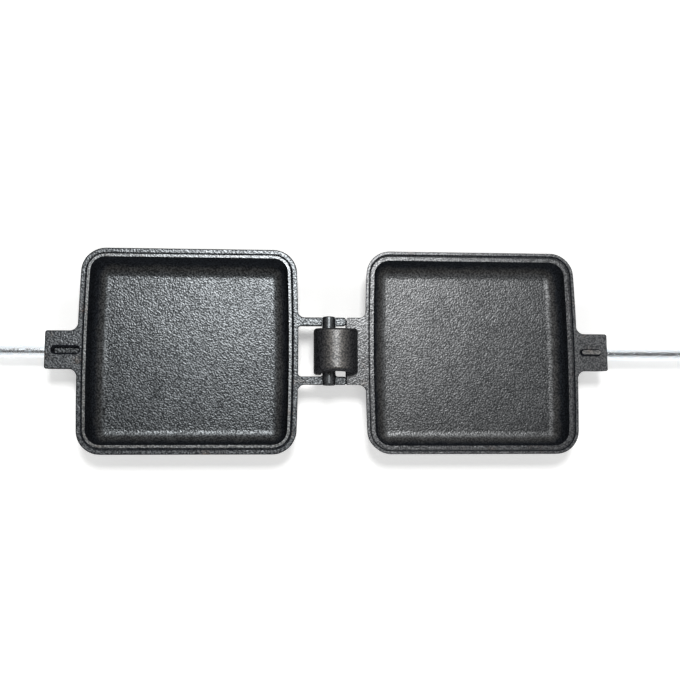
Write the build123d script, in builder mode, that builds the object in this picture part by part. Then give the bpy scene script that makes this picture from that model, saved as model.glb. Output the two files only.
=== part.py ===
from build123d import *
import os
from math import acos, cos, degrees, radians, sin, tan

# A cast-iron pie iron lying open on a table: two square pans joined by a hook hinge, each on a
# long steel rod with a wooden grip. X runs along the rods, Y along the hinge, Z up, and the
# origin lies on the table under the hinge. Lengths are in millimetres, angles in degrees.

# Cast pans
pan_length = 108.0  # from the hinge side to the rod side
pan_width = 102.1
side_swell = 1.2  # how far the hinge and rod sides bulge at mid-width
pan_corner = 12.0
hinge_height = 16.5  # the hinge axis lies in the plane where the pans meet
hinge_reach = 16.8  # from the hinge axis to a pan
closing_gap = 0.1  # between the ground faces of the shut pans
casting_draft = 5.0
base_rounding = 3.5
floor_thickness = 4.0
rim_width = 4.6  # of the left pan
rebated_rim_width = 4.0  # of the right pan
cavity_draft = 6.0
cavity_rounding = 7.0

# Rims: a lip round the left cavity enters a rebate round the right one
lip_width = 1.25
lip_height = 1.6
lip_side_gap = 0.85
lip_end_gap = 0.3
lip_draft = 32.0
rebate_draft = 25.0

# Bosses that hold the rods, with a key that lines the shut pans up
boss_length = 15.5
boss_width = 18.9
boss_depth = 12.2
boss_blend = 4.0
blend_bite = 0.05  # how deep under a pan's side the blended pieces start
slot_length = 13.9
slot_width = 4.1
slot_depth = 3.0
slot_draft = 17.0
slot_overlap = 1.4  # how far the slot runs into the rim
key_place = 1.4  # from the rim to the key
key_side_gap = 0.4
key_end_gap = 0.4
key_height = 1.8
key_draft = 12.0
casting_edge = 1.2  # rounding of the ends and undersides of bosses, arms and lug

# Hook hinge: two arms carry a crossbar, and a lug carries the hook that holds the bar
hinge_half_width = 16.9
arm_width = 4.2
arm_depth = 7.0
arm_end = 7.0  # past the hinge axis
outer_blend = 3.3
window_blend = 1.7
stop_gap = 0.2  # between the arms and the lug when the iron lies flat
bar_radius = 3.3
bar_offset = 1.6  # a flat iron hangs on the tip of the hook, so the bar is off the axis
bar_overhang = 0.25
bar_rounding = 0.8
bar_blend = 1.2
lug_depth = 8.0
hook_offset = 1.8
hook_drop = 0.4
hook_inner_radius = 7.1
hook_thickness = 3.8
hook_half_width = 11.8
hook_draft = 6.0
hook_tip_drop = 3.0
hook_edge = 1.5

# Rods
rod_radius = 3.175
rod_height = 9.5
rod_reach = 700.0  # from the hinge axis to the end of the rod
rod_seat = 14.0  # how far a rod sits in its boss
rod_chamfer = 0.6
rod_fit = 0.05
rod_end_gap = 0.3  # between a rod and the bottom of its bore

# Grips with their ferrules and cross pins
grip_length = 138.0
grip_end_wall = 5.0  # wood behind the rod
grip_radius = 9.4  # at the belly and the palm swell, just clear of the table
grip_shoulder_radius = 7.4
grip_waist_radius = 8.3
grip_end_radius = 5.0
grip_belly_place = 30.0  # behind the ferrule
grip_waist_place = 68.0  # behind the ferrule
grip_palm_place = 19.0  # before the end
grip_shoulder_slope = 0.3
grip_end_edge = 1.5
grip_flat_gap = 0.3  # from a grip's flat to the plane where the pans meet
ferrule_radius = 6.6
ferrule_wall = 0.6
ferrule_length = 12.0
ferrule_edge = 0.4
grip_fit = 0.05
pin_radius = 1.25
pin_place = 24.0  # from the front of the grip

# Wire latch on the left rod, between two collars
wire_radius = 1.5
wire_gap = 0.35
latch_place = 12.0  # from the front of the grip
latch_table_gap = 0.2
latch_lip = 2.0
latch_curl = 4.0
latch_curl_angle = 50.0
collar_radius = 5.2
collar_width = 3.0
collar_gap = 0.4
collar_edge = 0.5

# Sizes that follow
face_height = hinge_height - closing_gap / 2
pan_center = hinge_reach + pan_length / 2
rod_side = hinge_reach + pan_length
boss_end = rod_side + boss_length
lug_face = arm_end + stop_gap
slot_start = rod_side - slot_overlap
slot_end = slot_start + slot_length
grip_end = rod_reach + grip_end_wall
grip_front = grip_end - grip_length
grip_flat = hinge_height - grip_flat_gap
rod_gap = 2 * (hinge_height - rod_height)
wire_bend = rod_radius + wire_gap + wire_radius
latch_x = -(grip_front - latch_place)
latch_rest = degrees(acos((latch_table_gap + wire_bend + wire_radius - rod_height) / rod_gap))
hook_height = hinge_height - hook_drop
tip_height = hinge_height - hook_tip_drop
lip_foot = rim_width - lip_width - lip_height * tan(radians(lip_draft))
pin_x = grip_front + pin_place
sides = {"left": -1, "right": 1}


def pan_outline(side, inset=0.0):
    """A pan's outline seen from above, with every side moved in by inset."""
    half_length = pan_length / 2
    half_width = pan_width / 2
    corner_length = half_length - side_swell
    with BuildSketch() as outline:
        with BuildLine():
            Line((-corner_length, half_width), (corner_length, half_width))
            ThreePointArc((corner_length, half_width), (half_length, 0), (corner_length, -half_width))
            Line((corner_length, -half_width), (-corner_length, -half_width))
            ThreePointArc((-corner_length, -half_width), (-half_length, 0), (-corner_length, half_width))
        make_face()
        fillet(outline.vertices(), pan_corner)
        if inset:
            offset(amount=-inset)
    return Pos(side * pan_center, 0) * outline.sketch


def shell(side):
    """A pan's solid block, rounded underneath."""
    with BuildPart() as block:
        with BuildSketch(Plane.XY.offset(face_height)):
            add(pan_outline(side))
        extrude(amount=-face_height, taper=casting_draft)
        fillet(block.faces().sort_by(Axis.Z)[0].edges(), base_rounding)
    return block.part


def cavity(side, mouth_height, inset):
    """The hollow of a pan, from mouth_height down to the floor, inset from the outline."""
    with BuildPart() as hollow:
        with BuildSketch(Plane.XY.offset(mouth_height)):
            add(pan_outline(side, inset))
        extrude(amount=-(mouth_height - floor_thickness), taper=cavity_draft)
        fillet(hollow.faces().sort_by(Axis.Z)[0].edges(), cavity_rounding)
    return hollow.part


def standing_edges(solid):
    """The edges of a solid that rise more than they run."""
    return solid.edges().filter_by(lambda e: abs(e.tangent_at(0.5).Z) > 0.5)


def boss(side):
    """The boss that a rod screws into, blended into the rod side of its pan."""
    with BuildPart() as block:
        with BuildSketch(Plane.XY.offset(face_height)) as outline:
            add(pan_outline(side, blend_bite))
            with Locations((side * rod_side, 0)):
                Rectangle(2 * boss_length, boss_width)
            roots = outline.vertices().filter_by(lambda v: abs(abs(v.X) - rod_side) < side_swell)
            fillet(roots.filter_by(lambda v: abs(v.Y) < boss_width), boss_blend)
        extrude(amount=-boss_depth, taper=casting_draft)
        end = standing_edges(block).filter_by(lambda e: abs(e.center().X) > rod_side + boss_length / 2)
        fillet(end + block.faces().sort_by(Axis.Z)[0].edges(), casting_edge)
    return block.part


def hinge_roots(outline):
    """The corners of an outline where the hinge parts leave their pan."""
    at_wall = outline.vertices().filter_by(lambda v: abs(abs(v.X) - hinge_reach) < side_swell)
    return at_wall.filter_by(lambda v: abs(v.Y) < hinge_half_width + side_swell)


def arms():
    """The two arms of the left pan, blended into its hinge side."""
    place = hinge_half_width - arm_width / 2
    with BuildPart() as pair:
        with BuildSketch(Plane.XY.offset(face_height)) as outline:
            add(pan_outline(-1, blend_bite))
            with Locations((0, place), (0, -place)):
                Rectangle(2 * (hinge_reach + rim_width), arm_width)
            fillet(hinge_roots(outline).filter_by(lambda v: v.X < 0 and abs(v.Y) > place), outer_blend)
            fillet(hinge_roots(outline).filter_by(lambda v: v.X < 0 and abs(v.Y) < place), window_blend)
        extrude(amount=-arm_depth, taper=casting_draft)
        split(bisect_by=Plane.YZ.offset(arm_end), keep=Keep.BOTTOM)
        tips = standing_edges(pair).filter_by(lambda e: e.center().X > 0)
        fillet(tips + pair.faces().sort_by(Axis.Z)[0].edges(), casting_edge)
    return pair.part


def crossbar():
    """The round bar that the two arms carry."""
    with BuildPart() as bar:
        with BuildSketch(Plane.XZ):
            with Locations((-bar_offset, hinge_height)):
                Circle(bar_radius)
        extrude(amount=hinge_half_width + bar_overhang, both=True)
        fillet(bar.edges().filter_by(GeomType.CIRCLE), bar_rounding)
    return bar.part


def bar_blends():
    """The rounding between the crossbar and the arms, below their ground tops."""
    face_y = hinge_half_width - arm_width
    middle_y = hinge_half_width - arm_width / 2
    ring_height = hinge_height + bar_radius + bar_blend
    with BuildPart() as rings:
        with BuildSketch(Plane.YZ.offset(-bar_offset)):
            with BuildLine():
                curve = CenterArc((face_y - bar_blend, ring_height), bar_blend, -90, 90)
                Line(curve @ 1, (middle_y, ring_height))
                Line((middle_y, ring_height), (middle_y, hinge_height))
                Line((middle_y, hinge_height), (face_y - bar_blend, hinge_height))
                Line((face_y - bar_blend, hinge_height), curve @ 0)
            make_face()
        revolve(axis=Axis((-bar_offset, 0, hinge_height), (0, 1, 0)))
        mirror(about=Plane.XZ)
        split(bisect_by=Plane.XY.offset(face_height), keep=Keep.BOTTOM)
    return rings.part


def lug():
    """The lug of the right pan, blended into its hinge side."""
    with BuildPart() as block:
        with BuildSketch(Plane.XY.offset(face_height)) as outline:
            add(pan_outline(1, blend_bite))
            Rectangle(2 * (hinge_reach + rim_width), 2 * hinge_half_width)
            fillet(hinge_roots(outline).filter_by(lambda v: v.X > 0), outer_blend)
        extrude(amount=-lug_depth, taper=casting_draft)
        split(bisect_by=Plane.YZ.offset(lug_face), keep=Keep.TOP)
        tips = standing_edges(block).filter_by(lambda e: e.center().X < lug_face + casting_edge)
        fillet(tips + block.faces().sort_by(Axis.Z)[0].edges(), casting_edge)
    return block.part


def hook():
    """The half-round hook that arches from the lug over the crossbar."""
    outer_radius = hook_inner_radius + hook_thickness
    middle_radius = hook_inner_radius + hook_thickness / 2
    root_height = face_height - lug_depth / 2
    with BuildPart() as arch:
        with BuildSketch(Plane.XZ):
            with BuildLine():
                bend = CenterArc((hook_offset, hook_height), middle_radius, 0, 180)
                Line(bend @ 0, ((bend @ 0).X, root_height))
                Line(bend @ 1, ((bend @ 1).X, tip_height))
            trace(line_width=hook_thickness)
        extrude(amount=hook_half_width, both=True)
        with BuildSketch(Plane.YZ.offset(hook_offset)):
            with Locations((0, root_height)):
                Trapezoid(
                    2 * hook_half_width,
                    hook_height + outer_radius - root_height,
                    90 - hook_draft,
                    align=(Align.CENTER, Align.MIN),
                )
        extrude(amount=outer_radius, both=True, mode=Mode.INTERSECT)
        outer_edges = standing_edges(arch).filter_by(
            lambda e: abs(e.center().X - hook_offset) > middle_radius
        )
        fillet(outer_edges, hook_edge)
    return arch.part


def lip():
    """The raised lip of the left rim, with a sloping outer side."""
    with BuildPart() as ring:
        with BuildSketch(Plane.XY.offset(face_height)):
            add(pan_outline(-1, lip_foot))
        extrude(amount=lip_height, taper=lip_draft)
    return ring.part


def rebate():
    """The step round the right cavity that the lip enters."""
    with BuildPart() as step:
        with BuildSketch(Plane.XY.offset(face_height)):
            add(pan_outline(1, lip_foot - lip_side_gap))
        extrude(amount=-(lip_height + lip_end_gap), taper=rebate_draft)
    return step.part


def slot():
    """The slot in the top of the left boss."""
    with BuildPart() as cut:
        with BuildSketch(Plane.XY.offset(face_height)):
            with Locations((-(slot_start + slot_end) / 2, 0)):
                SlotOverall(slot_length, slot_width)
        extrude(amount=-slot_depth, taper=slot_draft)
    return cut.part


def key():
    """The rib on the right boss that enters the slot when the iron is shut."""
    key_start = rod_side + key_place
    key_end = slot_end - key_end_gap
    with BuildPart() as rib:
        with BuildSketch(Plane.XY.offset(face_height)):
            with Locations(((key_start + key_end) / 2, 0)):
                SlotOverall(key_end - key_start, slot_width - 2 * key_side_gap)
        extrude(amount=key_height, taper=key_draft)
    return rib.part


def bore(side):
    """The blind hole in the end of a boss."""
    with BuildPart() as hole:
        with BuildSketch(Plane.YZ.offset(side * boss_end)):
            with Locations((0, rod_height)):
                Circle(rod_radius + rod_fit)
        extrude(amount=-side * rod_seat)
    return hole.part


def left_pan():
    """The left casting: a pan with a lip, a slotted boss, two arms and the crossbar."""
    with BuildPart() as casting:
        add(shell(-1))
        add(boss(-1))
        add(arms())
        add(crossbar())
        add(bar_blends())
        add(lip())
        add(cavity(-1, face_height + lip_height, rim_width), mode=Mode.SUBTRACT)
        add(slot(), mode=Mode.SUBTRACT)
        add(bore(-1), mode=Mode.SUBTRACT)
    return casting.part


def right_pan():
    """The right casting: a pan with a rebate, a keyed boss, and the lug with its hook."""
    with BuildPart() as casting:
        add(shell(1))
        add(boss(1))
        add(lug())
        add(hook())
        add(key())
        add(rebate(), mode=Mode.SUBTRACT)
        add(cavity(1, face_height, rebated_rim_width), mode=Mode.SUBTRACT)
        add(bore(1), mode=Mode.SUBTRACT)
    return casting.part


def rod(side):
    """A round steel rod, from the bottom of its bore to the back of its grip."""
    inner_end = boss_end - rod_seat + rod_end_gap
    with BuildPart() as bar:
        with BuildSketch(Plane.YZ.offset(side * inner_end)):
            with Locations((0, rod_height)):
                Circle(rod_radius)
        extrude(amount=side * (rod_reach - inner_end))
        chamfer(bar.edges().filter_by(GeomType.CIRCLE), rod_chamfer)
        with Locations(Plane((side * pin_x, 0, rod_height), z_dir=(0, 1, 0))):
            Hole(radius=pin_radius + grip_fit)
    return bar.part


def grip_blank(side):
    """A grip's turned shape behind its ferrule, before it is bored."""
    shoulder_x = grip_front + ferrule_length
    end_corner = (side * grip_end, rod_height + grip_end_radius)
    with BuildPart() as blank:
        with BuildSketch(Plane.XZ) as profile:
            with BuildLine():
                turned = Spline(
                    (side * shoulder_x, rod_height + grip_shoulder_radius),
                    (side * (shoulder_x + grip_belly_place), rod_height + grip_radius),
                    (side * (shoulder_x + grip_waist_place), rod_height + grip_waist_radius),
                    (side * (grip_end - grip_palm_place), rod_height + grip_radius),
                    tangents=[(side, grip_shoulder_slope), (side, 0), (side, 0), (side, 0)],
                )
                tail = TangentArc(turned @ 1, end_corner, tangent=turned % 1)
                Line(tail @ 1, (side * grip_end, rod_height))
                Line((side * grip_end, rod_height), (side * shoulder_x, rod_height))
                Line((side * shoulder_x, rod_height), turned @ 0)
            make_face()
            corner = profile.vertices().sort_by_distance(end_corner)[0]
            fillet(corner, grip_end_edge)
        revolve(axis=Axis((0, 0, rod_height), (1, 0, 0)))
        split(bisect_by=Plane.XY.offset(grip_flat), keep=Keep.BOTTOM)
    return blank.part


def grip(side):
    """A wooden grip, bored for the rod and the pin, with a spigot for the ferrule."""
    spigot_x = grip_front + ferrule_wall + grip_fit
    with BuildPart() as wood:
        add(grip_blank(side))
        with BuildSketch(Plane.YZ.offset(side * spigot_x)):
            with Locations((0, rod_height)):
                Circle(ferrule_radius - ferrule_wall - grip_fit)
        extrude(amount=side * ferrule_length)
        with BuildSketch(Plane.YZ.offset(side * spigot_x)):
            with Locations((0, rod_height)):
                Circle(rod_radius + grip_fit)
        extrude(amount=side * (rod_reach + rod_end_gap - spigot_x), mode=Mode.SUBTRACT)
        with Locations(Plane((side * pin_x, 0, rod_height), z_dir=(0, 1, 0))):
            Hole(radius=pin_radius + grip_fit)
    return wood.part


def ferrule(side):
    """A steel cup round the front of a grip."""
    with BuildPart() as cup:
        with BuildSketch(Plane.YZ.offset(side * grip_front)):
            with Locations((0, rod_height)):
                Circle(ferrule_radius)
        extrude(amount=side * ferrule_length)
        fillet(cup.edges().sort_by(Axis.X)[-1 if side < 0 else 0], ferrule_edge)
        with BuildSketch(Plane.YZ.offset(side * (grip_front + ferrule_wall))):
            with Locations((0, rod_height)):
                Circle(ferrule_radius - ferrule_wall)
        extrude(amount=side * ferrule_length, mode=Mode.SUBTRACT)
        with Locations(Plane((side * grip_front, 0, rod_height), z_dir=(1, 0, 0))):
            Hole(radius=rod_radius + grip_fit)
    return cup.part


def grip_pin(side):
    """The cross pin through a grip and its rod, cut flush with the wood."""
    with BuildPart() as pin:
        with BuildSketch(Plane.XZ):
            with Locations((side * pin_x, rod_height)):
                Circle(pin_radius)
        extrude(amount=grip_radius, both=True)
        add(grip_blank(side), mode=Mode.INTERSECT)
    return pin.part


def latch_collars():
    """The two collars that keep the latch in its place on the left rod."""
    offset_x = wire_radius + collar_gap
    with BuildPart() as pair:
        for turn in (-1, 1):
            with BuildSketch(Plane.YZ.offset(latch_x + turn * offset_x)):
                with Locations((0, rod_height)):
                    Circle(collar_radius)
            extrude(amount=turn * collar_width)
        fillet(pair.edges().filter_by(GeomType.CIRCLE), collar_edge)
        with Locations(Plane((latch_x, 0, rod_height), z_dir=(1, 0, 0))):
            Hole(radius=rod_radius + rod_fit)
    return pair.part


def latch_hook():
    """The wire latch, lying beside the rod; it swings up and over the other rod."""
    turn = radians(latch_rest)
    plane = Plane((latch_x, 0, rod_height), x_dir=(0, cos(turn), sin(turn)), z_dir=(1, 0, 0))
    top = rod_gap + wire_bend
    with BuildPart() as wire:
        with BuildLine(plane) as route:
            CenterArc((0, 0), wire_bend, 90, -270)
            Line((-wire_bend, 0), (-wire_bend, rod_gap))
            CenterArc((0, rod_gap), wire_bend, 180, -90)
            Line((0, top), (latch_lip, top))
            CenterArc((latch_lip, top + latch_curl), latch_curl, -90, latch_curl_angle)
        with BuildSketch(Plane(route.line @ 0, z_dir=route.line % 0)):
            Circle(wire_radius)
        sweep(path=route.line)
    return wire.part


pieces = {"left_pan": left_pan(), "right_pan": right_pan()}
for name, side in sides.items():
    pieces[f"{name}_rod"] = rod(side)
    pieces[f"{name}_grip"] = grip(side)
    pieces[f"{name}_ferrule"] = ferrule(side)
    pieces[f"{name}_grip_pin"] = grip_pin(side)
pieces["latch_collars"] = latch_collars()
pieces["latch_hook"] = latch_hook()

os.makedirs("parts", exist_ok=True)
for name, piece in pieces.items():
    piece.label = name
    export_step(piece, f"parts/{name}.step")
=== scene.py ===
from math import pi, radians

import bpy
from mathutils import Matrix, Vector

# The looks of a cast-iron pie iron that lies open on a white table. X runs along the rods, Y along
# the hinge and Z up. Lengths are in metres and angles in degrees, unless a comment says otherwise.

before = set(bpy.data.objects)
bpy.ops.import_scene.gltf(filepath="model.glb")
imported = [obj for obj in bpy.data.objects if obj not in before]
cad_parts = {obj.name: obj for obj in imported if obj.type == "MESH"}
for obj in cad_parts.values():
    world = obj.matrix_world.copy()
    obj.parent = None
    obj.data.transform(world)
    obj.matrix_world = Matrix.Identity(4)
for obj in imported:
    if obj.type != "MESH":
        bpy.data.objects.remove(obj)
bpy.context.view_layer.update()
MM = 0.001
WHITE = (1, 1, 1, 1)
NOISE_RANGE = (0.3, 0.7)  # most values of a noise lie between these

# Camera of the photograph
CAMERA_PLACE = (-29.7 * MM, -55.5 * MM, 471.5 * MM)
CAMERA_TURN = (7.64, -4.21, -0.17)
CAMERA_LENS = 48.84  # millimetres
CAMERA_SENSOR = 36.0  # millimetres
CAMERA_NEAREST = 10 * MM

# Studio: a white table in a tent that is open above, a lamp over the back, and one in front whose
# reflection doesn't show
FLOOR_RADIUS = 6.0
FLOOR_SIDES = 64
FLOOR_COLOUR = (0.9, 0.9, 0.89, 1)
FLOOR_ROUGHNESS = 0.9
FLOOR_GLOW = 0.35  # where the floor is seen, also in a reflection
TENT_RISE = (0.62, 0.8)  # sines of the elevations over which the tent ends
TENT_OPENING = 0.08  # brightness of the opening, where the walls are 1
TENT_LIGHT = 0.35  # share of that brightness by which the tent lights what is in it
LAMP_PLACE = (0.0, 0.4, 1.0)
LAMP_SIZE = 0.3
LAMP_POWER = 7.4
FILL_PLACE = (0.0, -1.2, 0.7)
FILL_SIZE = 0.7
FILL_POWER = 10.6

# Shape of the castings, where their finish changes
FACE_HEIGHT = 16.45 * MM
LIP_HEIGHT = 1.6 * MM
REBATE_DEPTH = 1.9 * MM
STEP_SHADE = 1.1 * MM  # how far the painted shade on the upper part of the rebate's step reaches down
HINGE_HEIGHT = 16.5 * MM
BAR_X = -1.6 * MM
BAR_RADIUS = 3.3 * MM
HOOK_X = 1.8 * MM
HOOK_RADIUS = 10.9 * MM
LUG_X = 7.2 * MM
MARGIN = 0.2 * MM  # how far one finish runs past its shape before the next takes over

# How a face's finish follows from the upward part of its normal, or from its slope, which is 0 on a
# level face and 1 on a standing one;
# the fillets and walls lose their shine as painted shade, so that they render dark
LEVEL_TURN = (0.95, 0.99)
STEP_TURN = (0.3, 0.4)  # of the rebate's step
OUTSIDE_TURN = (-0.3, -0.04)  # from the undersides to the walls
FILLET_SLOPE = (0.0, 0.14)
WALL_SLOPE = (0.22, 0.55)
CROWN_FALL = 11.0  # how fast the painted highlight of the hook and the bar fades into painted shade down their sides
EDGE_TURN = (0.992, 0.9998)  # cosines between a face's normal and the averaged one near its edges
EDGE_SAMPLES = 8

# Finishes of the iron: two colours of its grain, roughness, shine, height of the grain, and how
# much the grain changes the shine
FLOOR_FINISH = {
    "dark": (0.003, 0.004, 0.005, 1),
    "light": (0.03, 0.032, 0.034, 1),
    "roughness": 0.34,
    "shine": 0.43,
    "relief": 1.0,
    "contrast": 0.9,
}
# The fillets' and the walls' finishes below have less shine than the floor's, and the walls none:
# painted shade that keeps them dark
FILLET_PAINTED_HALF_SHADE = {
    "dark": (0.005, 0.005, 0.005, 1),
    "light": (0.026, 0.025, 0.024, 1),
    "roughness": 0.6,
    "shine": 0.2,
    "relief": 0.8,
    "contrast": 0.8,
}
WALL_PAINTED_SHADE = {
    "dark": (0.008, 0.009, 0.011, 1),
    "light": (0.022, 0.025, 0.03, 1),
    "roughness": 0.6,
    "shine": 0.0,
    "relief": 0.6,
    "contrast": 0.6,
}
OUTSIDE_FINISH = {
    "dark": (0.006, 0.006, 0.007, 1),
    "light": (0.03, 0.031, 0.033, 1),
    "roughness": 0.4,
    "shine": 0.4,
    "relief": 1.0,
    "contrast": 0.5,
}
GROUND_FINISH = {
    "dark": (0.012, 0.013, 0.015, 1),
    "light": (0.055, 0.057, 0.06, 1),
    "roughness": 0.32,
    "shine": 0.5,
    "relief": 0.9,
    "contrast": 0.85,
}
LIP_FINISH = {
    "dark": (0.015, 0.014, 0.013, 1),
    "light": (0.13, 0.125, 0.118, 1),
    "roughness": 0.34,
    "shine": 0.8,
    "relief": 0.8,
    "contrast": 0.4,
}
# The sides' and the tops' finishes below keep the shine of the crossbar and the hook to their tops, and
# make the hook's top lighter: painted shade and painted highlight
SIDE_PAINTED_SHADE = {
    "dark": (0.003, 0.003, 0.004, 1),
    "light": (0.026, 0.027, 0.03, 1),
    "roughness": 0.5,
    "shine": 0.05,
    "relief": 0.3,
    "contrast": 0.3,
}
BAR_PAINTED_HIGHLIGHT = {
    "dark": (0.005, 0.005, 0.005, 1),
    "light": (0.012, 0.01, 0.008, 1),
    "roughness": 0.3,
    "shine": 1.0,
    "relief": 0.1,
    "contrast": 0.1,
}
CROWN_PAINTED_HIGHLIGHT = {
    "dark": (0.006, 0.005, 0.004, 1),
    "light": (0.085, 0.068, 0.05, 1),
    "roughness": 0.42,
    "shine": 0.8,
    "relief": 0.6,
    "contrast": 0.8,
}

# What differs between the two castings: tint of the shine, shine of the dark and of the light grain,
# roughness that is added, how much sooner the painted shade darkens the skin on walls that face along
# the rods, and width of the painted shade line along the edges of the ground faces
LEFT_IRON = {
    "tint": (0.9, 0.96, 1, 1),
    "glint": (0.5, 1.85),
    "wear": 0.0,
    "painted_side_shade": 0.18,
    "edge_shade_reach": 0.9 * MM,
}
RIGHT_IRON = {
    "tint": (0.97, 0.985, 1, 1),
    "glint": (0.85, 1.95),
    "wear": 0.03,
    "painted_side_shade": 0.14,
    "edge_shade_reach": 0.45 * MM,
}

# Grain, waves and rusty patches of the iron
IRON_INDEX = 1.8  # of refraction
GRAIN_SIZE = 0.8 * MM
GRAIN_HEIGHT = 0.12 * MM
GRAIN_RANGE = (0.36, 0.66)  # the grain's values that turn from dark to light
GRAIN_TURN = (0.3, 0.2, 0.65)  # radians, so that the grain isn't in line with the pans
WAVE_SIZE = 4.5 * MM
WAVE_HEIGHT = 0.035 * MM
WAVE_SHARE = (0.8, 1.25)  # how much the waves change the slope by which a finish is chosen
PATCH_SIZE = 9 * MM
PATCH_SHINE = (1.15, 0.85)  # how much the shine changes from patch to patch
RUST = (0.14, 0.085, 0.05, 1)
RUST_RANGE = (0.6, 0.75)  # the patches' values over which rust sets in
RUST_SHARE = 0.6

# Bare metals: two colours of their marks, the roughness of both, how the marks are stretched along
# the axes, and their size and height
MARK_DETAIL = 3
MARK_ROUGHNESS = 0.6
MARK_RANGE = (0.35, 0.65)
ZINC_COLOURS = ((0.8, 0.88, 0.94, 1), (0.98, 0.99, 1.0, 1))
STEEL_COLOURS = ((0.42, 0.43, 0.44, 1), (0.62, 0.62, 0.62, 1))
WIRE_COLOURS = ((0.5, 0.52, 0.54, 1), (0.78, 0.8, 0.82, 1))
LEFT_ZINC = {
    "colours": ZINC_COLOURS,
    "roughness": (0.38, 0.2),
    "scale": (0.5, 1, 1),
    "size": 0.8 * MM,
    "relief": 0.08 * MM,
}
RIGHT_ZINC = {
    "colours": ZINC_COLOURS,
    "roughness": (0.2, 0.06),
    "scale": (0.4, 1, 1),
    "size": 0.7 * MM,
    "relief": 0.25 * MM,
}
FERRULE_STEEL = {
    "colours": STEEL_COLOURS,
    "roughness": (0.3, 0.2),
    "scale": (1, 0.04, 0.04),
    "size": 0.15 * MM,
    "relief": 0.01 * MM,
}
PIN_STEEL = {
    "colours": STEEL_COLOURS,
    "roughness": (0.35, 0.22),
    "scale": (1, 0.2, 1),
    "size": 0.3 * MM,
    "relief": 0.01 * MM,
}
COLLAR_STEEL = {
    "colours": STEEL_COLOURS,
    "roughness": (0.4, 0.25),
    "scale": (1, 0.06, 0.06),
    "size": 0.2 * MM,
    "relief": 0.02 * MM,
}
LATCH_WIRE = {
    "colours": WIRE_COLOURS,
    "roughness": (0.32, 0.16),
    "scale": (1, 1, 1),
    "size": 0.6 * MM,
    "relief": 0.02 * MM,
}

# Wood of the grips
WOOD_LIGHT = (0.5, 0.29, 0.14, 1)
WOOD_DARK = (0.36, 0.19, 0.085, 1)
WOOD_PORE = (0.17, 0.08, 0.035, 1)
WOOD_ROUGHNESS = (0.36, 0.55)
RING_WIDTH = 3.2 * MM
RING_SCALE = (0.08, 1, 1)
WANDER_SIZE = 12 * MM
WANDER = 9 * MM  # how far the rings stray
FIBRE_SCALE = (0.03, 1, 1)
FIBRE_SIZE = 0.5 * MM
FIBRE_HEIGHT = 0.05 * MM
PORE_RANGE = (0.58, 0.66)  # the fibres' values over which a pore sets in


def feed(tree, sockets, values):
    """Give each named socket its value: a number, a colour or another node's output."""
    for name, value in values.items():
        if isinstance(value, bpy.types.NodeSocket):
            tree.links.new(value, sockets[name])
        else:
            sockets[name].default_value = value


def node(tree, kind, inputs=None, **settings):
    """A new node with its settings and inputs."""
    made = tree.nodes.new(kind)
    for name, value in settings.items():
        setattr(made, name, value)
    feed(tree, made.inputs, inputs or {})
    return made


def maths(tree, operation, *numbers):
    """The result of one sum on one or two numbers."""
    return node(tree, "ShaderNodeMath", dict(enumerate(numbers)), operation=operation).outputs[0]


def spread(tree, value, low, high, out_low=0.0, out_high=1.0):
    """value moved from low..high to out_low..out_high, and kept within them."""
    limits = {"From Min": low, "From Max": high, "To Min": out_low, "To Max": out_high}
    return node(tree, "ShaderNodeMapRange", {"Value": value, **limits}).outputs["Result"]


def mixed(tree, share, first, second):
    """A number between first and second."""
    return node(tree, "ShaderNodeMix", {"Factor": share, "A": first, "B": second}).outputs["Result"]


def blended(tree, share, first, second):
    """A colour between first and second."""
    made = node(tree, "ShaderNodeMix", data_type="RGBA")
    sockets = {socket.name: socket for socket in made.inputs if socket.enabled}
    feed(tree, sockets, {"Factor": share, "A": first, "B": second})
    return next(socket for socket in made.outputs if socket.enabled)


def noise(tree, place, size, detail=2.0, roughness=0.5):
    """Soft noise whose cells are about size across."""
    inputs = {"Vector": place, "Scale": 1 / size, "Detail": detail, "Roughness": roughness}
    return node(tree, "ShaderNodeTexNoise", inputs).outputs["Fac"]


def bumped(tree, height, distance):
    """A normal that follows height, where 1 stands distance above 0."""
    return node(tree, "ShaderNodeBump", {"Height": height, "Distance": distance}).outputs["Normal"]


def axes(tree, vector):
    """The three numbers of a vector."""
    return node(tree, "ShaderNodeSeparateXYZ", {"Vector": vector}).outputs


def stretched(tree, coordinates, scale):
    """The object's coordinates, stretched where scale is small."""
    inputs = {"Vector": coordinates["Object"], "Scale": scale}
    return node(tree, "ShaderNodeMapping", inputs).outputs["Vector"]


def distance_from(tree, place, x, z):
    """How far a point is from the line along Y through x and z."""
    along_x = maths(tree, "SUBTRACT", place["X"], x)
    along_z = maths(tree, "SUBTRACT", place["Z"], z)
    squares = [maths(tree, "POWER", side, 2.0) for side in (along_x, along_z)]
    return maths(tree, "SQRT", maths(tree, "ADD", *squares))


def new_material(name):
    """A material with its tree, its shader and the coordinates that are fixed to the object."""
    material = bpy.data.materials.new(name)
    material.use_nodes = True
    tree = material.node_tree
    return material, tree, tree.nodes["Principled BSDF"], tree.nodes.new("ShaderNodeTexCoord").outputs


def layered(tree, mask, under, over):
    """Two finishes as one: over where mask is 1, and under where it is 0."""
    finish = {}
    for channel in ("dark", "light"):
        finish[channel] = blended(tree, mask, under[channel], over[channel])
    for channel in ("roughness", "shine", "relief", "contrast"):
        finish[channel] = mixed(tree, mask, under[channel], over[channel])
    return finish


def between(tree, value, low, high):
    """1 where value lies between low and high, and 0 a little beyond them."""
    above = spread(tree, value, low - 2 * MARGIN, low - MARGIN)
    below = spread(tree, value, high + MARGIN, high + 2 * MARGIN, 1, 0)
    return maths(tree, "MULTIPLY", above, below)


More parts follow.
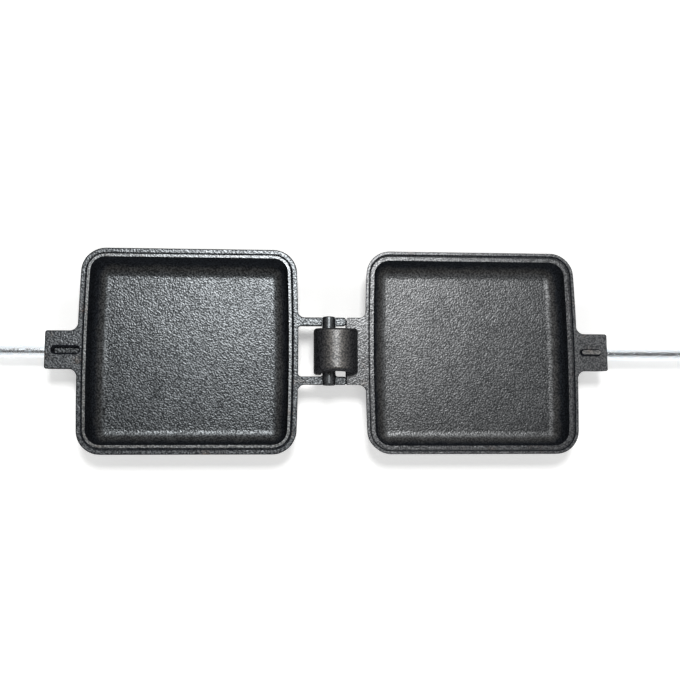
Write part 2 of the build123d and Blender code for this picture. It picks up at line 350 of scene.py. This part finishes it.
def ground_mask(tree, coordinates, left):
    """1 on the ground faces, and on the lower part of the step that leads down to the rebate."""
    height = axes(tree, coordinates["Object"])["Z"]
    facing = axes(tree, coordinates["Normal"])["Z"]
    lowest = FACE_HEIGHT if left else FACE_HEIGHT - REBATE_DEPTH
    level = spread(tree, facing, *LEVEL_TURN)
    ground = maths(tree, "MULTIPLY", level, between(tree, height, lowest, FACE_HEIGHT + LIP_HEIGHT))
    if left:
        return ground
    sloping = spread(tree, facing, *STEP_TURN)
    step = maths(tree, "MULTIPLY", sloping, between(tree, height, lowest, FACE_HEIGHT - STEP_SHADE))
    return maths(tree, "MAXIMUM", ground, step)


def lip_mask(tree, coordinates):
    """1 on the top of the lip, and of the key."""
    height = axes(tree, coordinates["Object"])["Z"]
    top = FACE_HEIGHT + LIP_HEIGHT
    level = spread(tree, axes(tree, coordinates["Normal"])["Z"], *LEVEL_TURN)
    return maths(tree, "MULTIPLY", level, between(tree, height, top, top))


def edge_shade_mask(tree, coordinates, reach, left):
    """1 near an edge of the top faces, where a normal averaged over reach leaves the face's own: where
    a dark line of painted shade goes.
    """
    averaged = node(tree, "ShaderNodeBevel", {"Radius": reach}, samples=EDGE_SAMPLES).outputs["Normal"]
    normal = node(tree, "ShaderNodeNewGeometry").outputs["Normal"]
    turn = node(tree, "ShaderNodeVectorMath", {0: averaged, 1: normal}, operation="DOT_PRODUCT")
    edge = spread(tree, turn.outputs["Value"], *EDGE_TURN, 1, 0)
    height = axes(tree, coordinates["Object"])["Z"]
    highest = FACE_HEIGHT if left else FACE_HEIGHT + LIP_HEIGHT
    return maths(tree, "MULTIPLY", edge, between(tree, height, FACE_HEIGHT, highest))


def bar_mask(tree, place):
    """1 on the crossbar."""
    distance = distance_from(tree, place, BAR_X, HINGE_HEIGHT)
    return spread(tree, distance, BAR_RADIUS + MARGIN / 2, BAR_RADIUS + MARGIN, 1, 0)


def hook_mask(tree, place):
    """1 on the hook."""
    distance = distance_from(tree, place, HOOK_X, HINGE_HEIGHT)
    near = spread(tree, distance, HOOK_RADIUS + MARGIN, HOOK_RADIUS + 2 * MARGIN, 1, 0)
    raised = spread(tree, place["Z"], FACE_HEIGHT + MARGIN / 4, FACE_HEIGHT + MARGIN / 2)
    free = spread(tree, place["X"], LUG_X - MARGIN, LUG_X - MARGIN / 2, 1, 0)
    return maths(tree, "MULTIPLY", near, maths(tree, "MAXIMUM", raised, free))


def skin_finish(tree, facing, wave, painted_side_shade):
    """The finish of the sand-cast skin: floors, fillets, steep walls and the outside; the fillets and
    walls lose shine as painted shade, sooner where they face along the rods.
    """
    # painted shade: walls that face along the rods turn dull sooner
    along = maths(tree, "MULTIPLY", maths(tree, "ABSOLUTE", facing["X"]), painted_side_shade)
    slope = maths(tree, "ADD", maths(tree, "SUBTRACT", 1.0, facing["Z"]), along)
    slope = maths(tree, "MULTIPLY", slope, spread(tree, wave, *NOISE_RANGE, *WAVE_SHARE))
    skin = layered(tree, spread(tree, slope, *FILLET_SLOPE), FLOOR_FINISH, FILLET_PAINTED_HALF_SHADE)
    skin = layered(tree, spread(tree, slope, *WALL_SLOPE), skin, WALL_PAINTED_SHADE)
    return layered(tree, spread(tree, facing["Z"], *OUTSIDE_TURN, 1, 0), skin, OUTSIDE_FINISH)


def casting_finish(tree, coordinates, ground, wave, iron, left):
    """The finish of a casting's skin, its ground faces with a painted shade line along their edges, and
    its crossbar or its hook with a painted highlight on top.
    """
    place = axes(tree, coordinates["Object"])
    facing = axes(tree, coordinates["Normal"])
    worn_and_edge_shade = layered(tree, lip_mask(tree, coordinates), GROUND_FINISH, LIP_FINISH)
    # a dark line of painted shade along the edges of the ground faces
    worn_and_edge_shade = layered(tree, edge_shade_mask(tree, coordinates, iron["edge_shade_reach"], left), worn_and_edge_shade, WALL_PAINTED_SHADE)
    skin = layered(tree, ground, skin_finish(tree, facing, wave, iron["painted_side_shade"]), worn_and_edge_shade)
    # painted highlight on the top of the crossbar and the hook, and painted shade on their sides
    painted_top_share = maths(tree, "POWER", maths(tree, "MAXIMUM", facing["Z"], 0.0), CROWN_FALL)
    if left:
        return layered(tree, bar_mask(tree, place), skin, layered(tree, painted_top_share, SIDE_PAINTED_SHADE, BAR_PAINTED_HIGHLIGHT))
    return layered(tree, hook_mask(tree, place), skin, layered(tree, painted_top_share, SIDE_PAINTED_SHADE, CROWN_PAINTED_HIGHLIGHT))


def iron_shine(tree, finish, speckle, patches, glint):
    """The shine of the iron, which changes with its grain and from patch to patch."""
    grainy = mixed(tree, finish["contrast"], 1.0, spread(tree, speckle, 0, 1, *glint))
    patchy = spread(tree, patches, *NOISE_RANGE, *PATCH_SHINE)
    return maths(tree, "MULTIPLY", maths(tree, "MULTIPLY", grainy, finish["shine"]), patchy)


def casting(name, iron, left):
    """Seasoned iron: sand-cast skin with painted shade that dulls its walls, and ground faces on top.
    """
    material, tree, shader, coordinates = new_material(name)
    ground = ground_mask(tree, coordinates, left)
    wave = noise(tree, coordinates["Object"], WAVE_SIZE, detail=1)
    finish = casting_finish(tree, coordinates, ground, wave, iron, left)
    turned = node(tree, "ShaderNodeMapping", {"Vector": coordinates["Object"], "Rotation": GRAIN_TURN})
    grain = noise(tree, turned.outputs["Vector"], GRAIN_SIZE, detail=0)
    speckle = spread(tree, grain, *GRAIN_RANGE)
    patches = noise(tree, coordinates["Object"], PATCH_SIZE)
    rust = maths(tree, "MULTIPLY", ground, spread(tree, patches, *RUST_RANGE, 0, RUST_SHARE))
    light = blended(tree, rust, finish["light"], RUST)
    grain_rise = maths(tree, "MULTIPLY", grain, finish["relief"])
    wave_rise = maths(tree, "MULTIPLY", wave, WAVE_HEIGHT / GRAIN_HEIGHT)
    looks = {
        "Base Color": blended(tree, speckle, finish["dark"], light),
        "Roughness": maths(tree, "ADD", finish["roughness"], iron["wear"]),
        "IOR": IRON_INDEX,
        "Specular IOR Level": iron_shine(tree, finish, speckle, patches, iron["glint"]),
        "Specular Tint": iron["tint"],
        "Normal": bumped(tree, maths(tree, "ADD", grain_rise, wave_rise), GRAIN_HEIGHT),
    }
    feed(tree, shader.inputs, looks)
    return material


def metal(name, colours, roughness, scale, size, relief):
    """A bare metal with marks of one size, drawn out along the axes whose scale is small."""
    material, tree, shader, coordinates = new_material(name)
    marks = noise(tree, stretched(tree, coordinates, scale), size, MARK_DETAIL, MARK_ROUGHNESS)
    speckle = spread(tree, marks, *MARK_RANGE)
    looks = {
        "Base Color": blended(tree, speckle, *colours),
        "Metallic": 1.0,
        "Roughness": spread(tree, speckle, 0, 1, *roughness),
        "Normal": bumped(tree, marks, relief),
    }
    feed(tree, shader.inputs, looks)
    return material


def wood(name):
    """Oiled wood: rings cut lengthwise, with fine pores along the grain."""
    material, tree, shader, coordinates = new_material(name)
    along = stretched(tree, coordinates, RING_SCALE)
    wander = maths(tree, "MULTIPLY", noise(tree, along, WANDER_SIZE), WANDER)
    across = maths(tree, "ADD", axes(tree, along)["Y"], wander)
    rings = maths(tree, "SINE", maths(tree, "MULTIPLY", across, 2 * pi / RING_WIDTH))
    lengthwise = stretched(tree, coordinates, FIBRE_SCALE)
    fibres = noise(tree, lengthwise, FIBRE_SIZE, MARK_DETAIL, MARK_ROUGHNESS)
    ringed = blended(tree, spread(tree, rings, -1, 1), WOOD_LIGHT, WOOD_DARK)
    looks = {
        "Base Color": blended(tree, spread(tree, fibres, *PORE_RANGE), ringed, WOOD_PORE),
        "Roughness": spread(tree, fibres, *NOISE_RANGE, *WOOD_ROUGHNESS),
        "Normal": bumped(tree, fibres, FIBRE_HEIGHT),
    }
    feed(tree, shader.inputs, looks)
    return material


def seen_rays(tree):
    """1 for the rays by which the camera sees a thing, also in metal and through glass."""
    rays = node(tree, "ShaderNodeLightPath").outputs
    direct = maths(tree, "ADD", rays["Is Camera Ray"], rays["Is Glossy Ray"])
    return maths(tree, "ADD", direct, rays["Is Transmission Ray"])


def table_top():
    """The white table: it takes shadows, and shows white where there are none."""
    material, tree, shader, _ = new_material("table_top")
    looks = {
        "Base Color": FLOOR_COLOUR,
        "Roughness": FLOOR_ROUGHNESS,
        "Specular IOR Level": 0.0,
        "Emission Color": WHITE,
        "Emission Strength": maths(tree, "MULTIPLY", seen_rays(tree), FLOOR_GLOW),
    }
    feed(tree, shader.inputs, looks)
    return material


def make_camera():
    """The photograph's viewpoint."""
    data = bpy.data.cameras.new("camera")
    data.lens = CAMERA_LENS
    data.sensor_width = CAMERA_SENSOR
    data.clip_start = CAMERA_NEAREST
    camera = bpy.data.objects.new("camera", data)
    camera.location = CAMERA_PLACE
    camera.rotation_euler = [radians(angle) for angle in CAMERA_TURN]
    bpy.context.scene.collection.objects.link(camera)
    bpy.context.scene.camera = camera


def make_tent():
    """The world: white up to the tent's rim, and dark in its opening."""
    world = bpy.data.worlds.new("tent")
    bpy.context.scene.world = world
    world.use_nodes = True
    tree = world.node_tree
    rise = axes(tree, node(tree, "ShaderNodeTexCoord").outputs["Generated"])["Z"]
    walls = spread(tree, rise, *TENT_RISE, 1, TENT_OPENING)
    shown = spread(tree, seen_rays(tree), 0, 1, TENT_LIGHT, 1)
    looks = {"Color": WHITE, "Strength": maths(tree, "MULTIPLY", walls, shown)}
    feed(tree, tree.nodes["Background"].inputs, looks)


def make_floor():
    """The table under the iron."""
    bpy.ops.mesh.primitive_circle_add(vertices=FLOOR_SIDES, radius=FLOOR_RADIUS, fill_type="NGON")
    floor = bpy.context.object
    floor.name = "floor"
    floor.data.materials.append(table_top())


def make_lamp(name, place, size, power):
    """A soft lamp that is turned to the hinge."""
    data = bpy.data.lights.new(name, "AREA")
    data.size = size
    data.energy = power
    lamp = bpy.data.objects.new(name, data)
    lamp.location = place
    lamp.rotation_euler = Vector(place).to_track_quat("Z", "Y").to_euler()
    bpy.context.scene.collection.objects.link(lamp)
    return lamp


make_camera()
make_tent()
make_floor()
make_lamp("lamp", LAMP_PLACE, LAMP_SIZE, LAMP_POWER)
fill = make_lamp("fill", FILL_PLACE, FILL_SIZE, FILL_POWER)
fill.visible_glossy = False

# A piece's finish is named after the piece, or after the last word of its name
finishes = {
    "left_pan": casting("left_iron", LEFT_IRON, left=True),
    "right_pan": casting("right_iron", RIGHT_IRON, left=False),
    "left_rod": metal("left_zinc", **LEFT_ZINC),
    "right_rod": metal("right_zinc", **RIGHT_ZINC),
    "grip": wood("grip_wood"),
    "ferrule": metal("ferrule_steel", **FERRULE_STEEL),
    "pin": metal("pin_steel", **PIN_STEEL),
    "collars": metal("collar_steel", **COLLAR_STEEL),
    "hook": metal("latch_wire", **LATCH_WIRE),
}
for name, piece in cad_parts.items():
    piece.data.materials.clear()
    piece.data.materials.append(finishes.get(name) or finishes[name.split("_")[-1]])

bpy.context.scene.view_settings.view_transform = "Standard"
